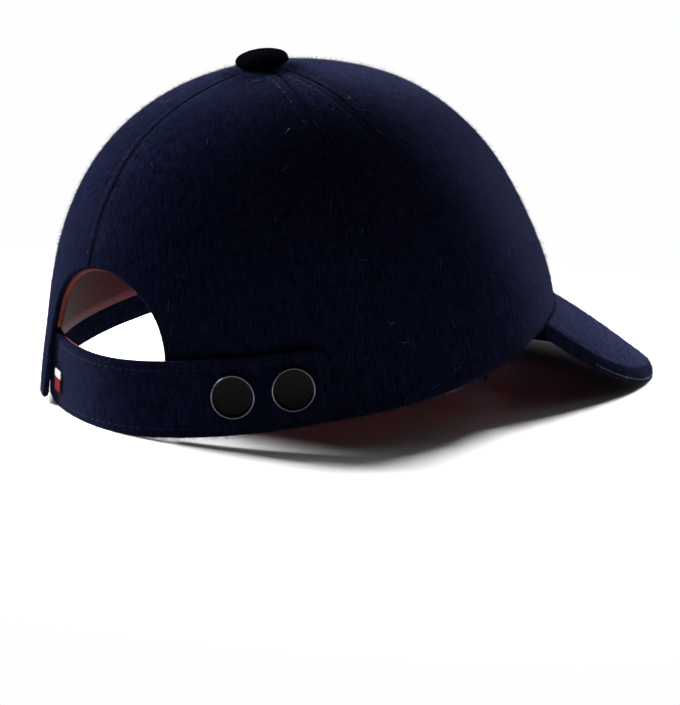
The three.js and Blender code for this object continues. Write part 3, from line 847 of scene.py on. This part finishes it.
def lining_shape():
    """A closed cup: rows run from its lower edge up to the apex, on the inside and on the outside."""
    halves = []
    for sign in (-1, 1):
        t, s = lining_edge(sign)
        rim_t = np.linspace(t[-1], np.pi, 120)[1:]
        t = np.concatenate([t, rim_t])
        s = np.maximum(np.concatenate([s, np.zeros(rim_t.shape)]), LINING["rim"])
        run = along(crown(sign * t, s))
        share = np.linspace(0, 1, 110)
        halves.append((np.interp(share, run / run[-1], t), np.interp(share, run / run[-1], s), share))
    t = np.concatenate([-halves[0][0][::-1], halves[1][0][1:]])[:-1]
    s = np.concatenate([halves[0][1][::-1], halves[1][1][1:]])[:-1]
    top_t = np.concatenate([-halves[0][2][::-1], halves[1][2][1:]])[:-1] * np.pi
    rows = np.linspace(0, 1, 46)[None, :-1]
    grid_t = lerp(t[:, None], top_t[:, None], rows)
    grid_s = lerp(s[:, None], 1, rows)
    depth = WALL + LINING["clear"]
    outer = layer(grid_t, grid_s, np.full(grid_t.shape, -depth))
    inner = layer(grid_t, grid_s, np.full(grid_t.shape, -depth - LINING["wall"]))
    grid = np.concatenate([inner[:, ::-1], outer], 1)
    top = np.array([0, CROWN["apex_back"], CROWN["height"] - depth])
    points, faces = wrapped(grid, top - [0, 0, LINING["wall"]], top)
    around = grid_t * np.hypot(outer[..., 0], outer[..., 1])
    cloth = np.stack([around, grid_s * UP_LENGTH], -1)
    cloth = np.concatenate([cloth[:, ::-1], cloth], 1).reshape(-1, 2)
    return points, faces, np.concatenate([cloth, [[0, UP_LENGTH], [0, UP_LENGTH]]])


lining_points, lining_faces, lining_cloth = lining_shape()
make_piece("crown_lining", (lining_points, lining_faces), [RED_LINING], "lining", lining_cloth)


def piping_path():
    """The piping's path: half an ellipse just behind the arch's edge, down to the strap on both sides."""
    half = ARCH["half"] + PIPING["margin"]
    turn = np.linspace(PIPING["end_angle"], np.pi - PIPING["end_angle"], 90)
    x = ARCH["x"] + half * np.cos(turn)
    z = ARCH["spring"] + (ARCH["rise"] + PIPING["margin"]) * np.sin(turn)
    t, s = place_at(x, z)
    return layer(t, s, np.full(t.shape, -(WALL + GAP + PIPING["radius"])))


piping = piping_path()
piping_tube = tube(piping, PIPING["radius"], PIPING["sides"])
turns = np.repeat(np.arange(PIPING["sides"]), len(piping)) / PIPING["sides"] * 2 * np.pi * PIPING["radius"]
piping_cloth = np.stack([turns, np.tile(along(piping), PIPING["sides"])], -1)
piping_cloth = np.concatenate([piping_cloth, [[0, 0], [0, along(piping)[-1]]]])
make_piece("arch_piping", piping_tube, [PALE_PIPING], "lining_piping", piping_cloth)

# The woven tab and the end of tape.


def tab_shape():
    """A thin ribbon on the strap beside the left panel, with rolled edges."""
    degrees = lerp(TAB["from"], TAB["to"], np.linspace(0, 1, 14))[:, None]
    z = lerp(TAB["bottom"], TAB["top"], np.linspace(0, 1, 18))[None]
    degrees, z = np.broadcast_arrays(degrees, z)
    base = STRAP_FACE + GAP
    edge = edge_distance(strap_point(degrees, z, base))
    fall = roll(edge, TAB["thick"]) * TAB["thick"] / 2
    cloth = np.stack([degrees / 90 * np.pi / 2 * RIM["back"], z], -1)
    outer = strap_point(degrees, z, base + TAB["thick"] - fall)
    return shell(outer, strap_point(degrees, z, base + fall), cloth)


tab = tab_shape()
make_piece("strap_tab", tab, [TAB_RIBBON], "side_tab", tab[2])


def tape_shape():
    """A short flat end of tape that hangs under the rim: two sheets with rolled edges."""
    t = np.radians(TAPE["t"])
    face = outward(t, 0.0)
    flat = unit(np.array([face[0], face[1], 0]))
    side = np.array([-flat[1], flat[0], 0])
    across = np.linspace(-TAPE["wide"] / 2, TAPE["wide"] / 2, 12)[:, None, None] * side
    down = np.linspace(0, TAPE["drop"], 12)[None, :, None] * np.array([0, 0, 1.0])
    low = layer(t, 0.0, -WALL / 2) - [0, 0, TAPE["drop"] + 2 * GAP]
    middle = low + across + down
    half = TAPE["thick"] / 2 * (1 - roll(edge_distance(middle), TAPE["thick"] / 2))[..., None]
    cloth = np.stack(np.broadcast_arrays(
        np.linspace(0, TAPE["wide"], 12)[:, None], np.linspace(0, TAPE["drop"], 12)[None]), -1)
    return shell(middle + flat * half, middle - flat * half, cloth)


tape = tape_shape()
make_piece("rim_tape_end", tape, [BLACK_TAPE], "tape_end", tape[2])

# Stitches.


def stitches(path, normal, pitch, size):
    """A stitch at each pitch of a path: a slim spindle of three rings and two ends, laid along the path."""
    run = along(path)
    places = np.arange(pitch / 2, run[-1], pitch)
    centre = np.stack([np.interp(places, run, path[:, i]) for i in range(3)], -1)
    lie = unit(np.stack([np.interp(places, run, np.gradient(path, axis=0)[:, i]) for i in range(3)], -1))
    up = unit(np.stack([np.interp(places, run, normal[:, i]) for i in range(3)], -1))
    side = np.cross(lie, up)
    sides = 6
    angle = np.linspace(0, 2 * np.pi, sides, endpoint=False)
    rings = ((-0.34, 0.75), (0.0, 1.0), (0.34, 0.75))
    template = [(-0.5, 0.0, -0.4)]
    for station, swell in rings:
        template += [(station, swell * math.cos(a), swell * math.sin(a)) for a in angle]
    template.append((0.5, 0.0, -0.4))
    local = np.array(template) * [size["long"], size["wide"] / 2, size["high"] / 2]
    points = centre[:, None] + local[None, :, :1] * lie[:, None] + local[None, :, 1:2] * side[:, None]
    points = points + local[None, :, 2:] * up[:, None]
    last = len(template) - 1
    first = [(0, 1 + (i + 1) % sides, 1 + i) for i in range(sides)]
    end = [(last, last - sides + i, last - sides + (i + 1) % sides) for i in range(sides)]
    walls = []
    for ring_number in range(len(rings) - 1):
        base = 1 + ring_number * sides
        for i in range(sides):
            near, far = base + i, base + (i + 1) % sides
            walls.append((near, far, far + sides, near + sides))
    offsets = (np.arange(len(centre)) * len(template))[:, None, None]
    faces = [(np.array(part)[None] + offsets).reshape(-1, len(part[0])) for part in (walls, first, end)]
    return points.reshape(-1, 3), faces


def joined(shapes):
    """Several shapes as one."""
    points, faces, count = [], [], 0
    for shape in shapes:
        points.append(shape[0])
        faces += [part + count for part in shape[1]]
        count += len(shape[0])
    return np.concatenate(points), faces


def seam_rows():
    """Topstitches on both sides of every seam of the crown, a few millimetres away from it."""
    rows = []
    seams = (0.0, SEAM["back"], SEAM["front"], np.pi, -SEAM["back"], -SEAM["front"])
    for seam in seams:
        for aside in (-1, 1):
            s = np.linspace(0.02, 0.96, 160)
            if seam == 0:
                edge_t, edge_s = arch_edge(aside, 4, 0)
                s = np.linspace(np.interp(0.04, edge_t, edge_s), 0.96, 160)
            radius = np.hypot(*crown(seam, s)[:, :2].T)
            t = seam + aside * STITCH["aside"] / np.maximum(radius, 12)
            face = crown(t, s)
            lift = flare(face) + RIPPLE["high"] * ripple(face, RIPPLE["size"], SEED)
            lift = lift - VALLEY["deep"] * math.exp(-STITCH["aside"] / VALLEY["reach"])
            path = layer(t, s, lift - STITCH_GROOVE["deep"] + STITCH["proud"])
            rows.append(stitches(path, outward(t, s), STITCH["pitch"], STITCH))
    return rows


def strap_rows():
    """Topstitches along the strap, near its two long edges and across its free end."""
    inset = STITCH["aside"]
    low, high = STRAP["bottom"] + inset, STRAP["top"] - inset
    last = STRAP["end"] - 2.0
    long_edge = np.linspace(STRAP["start"] + 12, last, 120)
    runs = [
        (long_edge, np.full(120, low)),
        (long_edge, np.full(120, high)),
        (np.full(30, last), np.linspace(low, high, 30)),
    ]
    rows = []
    for degrees, z in runs:
        lift = STRAP_FACE - STITCH_GROOVE["deep"] * STRAP["cloth"] / 2 + STITCH["proud"]
        path = strap_point(degrees, z, lift)
        t = np.radians(degrees)
        rows.append(stitches(path, outward(t, level_of(t, z)), STITCH["pitch"], STITCH))
    return rows


def peak_rows():
    """Whip stitches along the lower rim of the peak's rolled edge."""
    limit = np.pi / 2 - 3 * PEAK_EDGE["corner"]
    angle = np.linspace(limit, -limit, 400)
    edge = peak_top(angle, np.ones(400))
    inside = peak_top(angle, np.full(400, 0.97))
    out = unit((edge - inside) * [1, 1, 0])
    path = edge - [0, 0, PEAK_EDGE["thick"] * WHIP_STITCH["down"]] + out * WHIP_STITCH["proud"]
    down = unit(out * 0.6 - [0, 0, 0.8])
    return [stitches(path, down, WHIP_STITCH["pitch"], WHIP_STITCH)]


make_piece("crown_topstitch", joined(seam_rows()), [NAVY_THREAD])
make_piece("strap_topstitch", joined(strap_rows()), [NAVY_THREAD])
make_piece("peak_edge_stitch", joined(peak_rows()), [GREY_THREAD])

# Loose wool hairs.


def fibres(face, seed):
    """Wool hairs strewn on a face, thicker near its edges: slim closed spikes that lean down the cloth."""
    rng = np.random.default_rng(seed)
    across = face[1:, :-1] - face[:-1, :-1]
    up = face[:-1, 1:] - face[:-1, :-1]
    normal = np.cross(across, up)
    weight = np.full(normal.shape[:2], FIBRE["edge_weight"])
    inside = slice(FIBRE["edge_cells"], -FIBRE["edge_cells"])
    weight[inside, inside] = 1
    area = np.linalg.norm(normal, axis=-1) * weight
    total = np.cumsum(area.ravel())
    count = int(total[-1] * FIBRE["density"])
    cell = np.searchsorted(total, rng.uniform(0, total[-1], count))
    i, j = np.unravel_index(np.minimum(cell, area.size - 1), area.shape)
    a, b = rng.uniform(0, 1, (2, count, 1))
    low = lerp(face[i, j], face[i + 1, j], a)
    high = lerp(face[i, j + 1], face[i + 1, j + 1], a)
    root = lerp(low, high, b)
    stand = unit(normal[i, j] + 1e-12)
    down = -unit(up[i, j] + 1e-12)
    side = np.cross(stand, down)
    lean = rng.normal(0.5, 0.5, (count, 1)) * down + rng.normal(0, 0.6, (count, 1)) * side
    direction = unit(stand * rng.uniform(0.25, 0.9, (count, 1)) + lean)
    length = lerp(FIBRE["short"], FIBRE["long"], rng.uniform(0, 1, (count, 1)) ** 2.2)
    first = unit(np.cross(direction, stand + [0.01, 0.02, 0.03]))
    second = np.cross(direction, first)
    base = root - stand * FIBRE["sunk"]
    corners = [base + FIBRE["radius"] * (math.cos(k) * first + math.sin(k) * second)
               for k in (0, 2 * math.pi / 3, 4 * math.pi / 3)]
    points = np.stack([*corners, root + direction * length], 1).reshape(-1, 3)
    spike = np.array([[0, 2, 1], [0, 1, 3], [1, 2, 3], [2, 0, 3]])
    return points, [(spike[None] + 4 * np.arange(count)[:, None, None]).reshape(-1, 3)]


def lint(faces, seed):
    """Pale curled hairs caught on the wool: thin three sided tubes along short arcs that lie on a face."""
    rng = np.random.default_rng(seed)
    hairs = []
    for face in faces:
        columns, rows = face.shape[:2]
        for _ in range(LINT["count"] // len(faces)):
            i, j = rng.integers(3, columns - 4), rng.integers(3, rows - 4)
            u_step, v_step = face[i + 1, j] - face[i, j], face[i, j + 1] - face[i, j]
            stand = unit(np.cross(u_step, v_step))
            lie = unit(rng.normal() * unit(u_step) + rng.normal() * unit(v_step))
            side = np.cross(stand, lie)
            run = np.linspace(-0.5, 0.5, LINT["bends"])[:, None] * LINT["long"] * rng.uniform(0.4, 1)
            curl = rng.uniform(-0.25, 0.25)
            path = face[i, j] + lie * run + side * curl * run**2 + stand * (0.25 - 0.03 * run**2)
            hairs.append(tube(path, LINT["radius"], 3))
    return joined(hairs)


for number, (name, face) in enumerate(fuzzy_faces.items()):
    make_piece(f"{name}_hairs", fibres(face, SEED + number), [NAVY_FIBRE])
crown_faces = [face for name, face in fuzzy_faces.items() if name.startswith("crown")]
make_piece("lint_hairs", lint(crown_faces, SEED), [PALE_LINT])

# Floor, light and camera.


def pale_floor():
    """A wide pale floor, just under the cap, that turns into a lit white sweep away from it."""
    material, tree, output = new_material("pale_floor_paint")
    place = add_node(tree, "ShaderNodeTexCoord").outputs["Object"]
    grain = add_node(tree, "ShaderNodeTexNoise", Vector=place, Scale=30.0, Detail=3.0)
    rough = add_node(tree, "ShaderNodeMapRange", Value=grain.outputs["Fac"], To_Min=0.7, To_Max=0.85)
    paint = add_node(
        tree, "ShaderNodeBsdfPrincipled", Base_Color=linear("#f2f2f4"), Roughness=rough.outputs["Result"],
        Specular_IOR_Level=0.2,
    )
    reach = add_node(tree, "ShaderNodeVectorMath", {"operation": "LENGTH"})
    tree.links.new(place, reach.inputs[0])
    fade = add_node(
        tree, "ShaderNodeMapRange", {"interpolation_type": "SMOOTHSTEP"}, Value=reach.outputs["Value"],
        From_Min=FLOOR_FADE["near"], From_Max=FLOOR_FADE["far"],
    )
    glow = add_node(tree, "ShaderNodeEmission", Color=linear(STUDIO_WHITE), Strength=1.0)
    sweep = add_node(tree, "ShaderNodeMixShader", Fac=fade.outputs["Result"])
    tree.links.new(paint.outputs["BSDF"], sweep.inputs[1])
    tree.links.new(glow.outputs["Emission"], sweep.inputs[2])
    tree.links.new(sweep.outputs["Shader"], output.inputs["Surface"])
    mesh = bpy.data.meshes.new("pale_floor")
    side, low = FLOOR["reach"], -FLOOR["below"]
    corners = [(-side, -side, low), (side, -side, low), (side, side, low), (-side, side, low)]
    mesh.from_pydata(corners, [], [(0, 1, 2, 3)])
    mesh.materials.append(material)
    floor = bpy.data.objects.new("pale_floor", mesh)
    bpy.context.scene.collection.objects.link(floor)


def view_axes():
    """The camera's right, up and back directions in the part's frame."""
    turn, rise, roll_angle = (math.radians(VIEW[key]) for key in ("turn", "rise", "roll"))
    back = np.array([-math.sin(turn) * math.cos(rise), math.cos(turn) * math.cos(rise), math.sin(rise)])
    flat_right = np.array([-math.cos(turn), -math.sin(turn), 0])
    flat_up = np.array([math.sin(turn) * math.sin(rise), -math.cos(turn) * math.sin(rise), math.cos(rise)])
    right = flat_right * math.cos(roll_angle) - flat_up * math.sin(roll_angle)
    up = flat_up * math.cos(roll_angle) + flat_right * math.sin(roll_angle)
    return [TURN @ axis for axis in (right, up, back)]


def add_camera():
    """The camera at the photograph's angle to the cap, with the shift that its framing needs."""
    right, up, back = view_axes()
    camera = bpy.data.cameras.new("photo_camera")
    longest = max(FRAME_SIZE.values())
    camera.sensor_width = 36.0
    camera.lens = camera.sensor_width * VIEW["focal"] / longest
    camera.shift_x = (FRAME_SIZE["width"] / 2 - RIM_CENTRE_PIXEL["x"]) / longest
    camera.shift_y = (RIM_CENTRE_PIXEL["y"] - FRAME_SIZE["height"] / 2) / longest
    stand = bpy.data.objects.new("photo_camera", camera)
    matrix = np.eye(4)
    matrix[:3, :3] = np.stack([right, up, back], -1)
    matrix[:3, 3] = (REST + back * VIEW["away"]) * MM
    stand.matrix_world = Matrix(matrix.tolist())
    bpy.context.scene.collection.objects.link(stand)
    bpy.context.scene.camera = stand


def soft_box(name, place, watts, size):
    """A square soft light that looks at the middle of the cap."""
    light = bpy.data.lights.new(name, "AREA")
    light.energy = watts
    light.size = size
    stand = bpy.data.objects.new(name, light)
    aim = np.array([0, 0, 0.06]) - place
    stand.location = place
    stand.rotation_euler = Vector(aim).to_track_quat("-Z", "Y").to_euler()
    bpy.context.scene.collection.objects.link(stand)


def add_lights():
    """Soft boxes on both sides, a little behind the cap as the photograph sees it, in a pale studio.

    The studio's walls give less light from the photograph's side than from behind, and look even to the eye.
    """
    right, _, back = view_axes()
    flat_right = unit(right * [1, 1, 0])
    flat_back = unit(back * [1, 1, 0])
    over = np.array([0, 0, 1.0])
    for name, box in SOFT_BOXES.items():
        place = flat_right * box["right"] + flat_back * box["back"] + over * box["over"]
        soft_box(name, place, box["watts"], box["size"])
    world = bpy.data.worlds.new("pale_studio")
    world.use_nodes = True
    tree = world.node_tree
    tree.nodes.clear()
    seen = add_node(tree, "ShaderNodeLightPath").outputs["Is Camera Ray"]
    toward = add_node(tree, "ShaderNodeTexCoord").outputs["Generated"]
    facing_view = add_node(tree, "ShaderNodeVectorMath", {"operation": "DOT_PRODUCT"})
    tree.links.new(toward, facing_view.inputs[0])
    facing_view.inputs[1].default_value = flat_back
    wall = add_node(
        tree, "ShaderNodeMapRange", Value=facing_view.outputs["Value"],
        From_Min=STUDIO_WALL["far_edge"], From_Max=STUDIO_WALL["near_edge"],
        To_Min=STUDIO_WALL["far"], To_Max=STUDIO_WALL["near"],
    )
    strength = add_node(tree, "ShaderNodeMix", Factor=seen, A=wall.outputs["Result"], B=1.0)
    pale = add_node(
        tree, "ShaderNodeBackground", Color=linear(STUDIO_WHITE), Strength=strength.outputs["Result"],
    )
    output = tree.nodes.new("ShaderNodeOutputWorld")
    tree.links.new(pale.outputs["Background"], output.inputs["Surface"])
    bpy.context.scene.world = world
    bpy.context.scene.view_settings.view_transform = "Standard"


pale_floor()
add_camera()
add_lights()
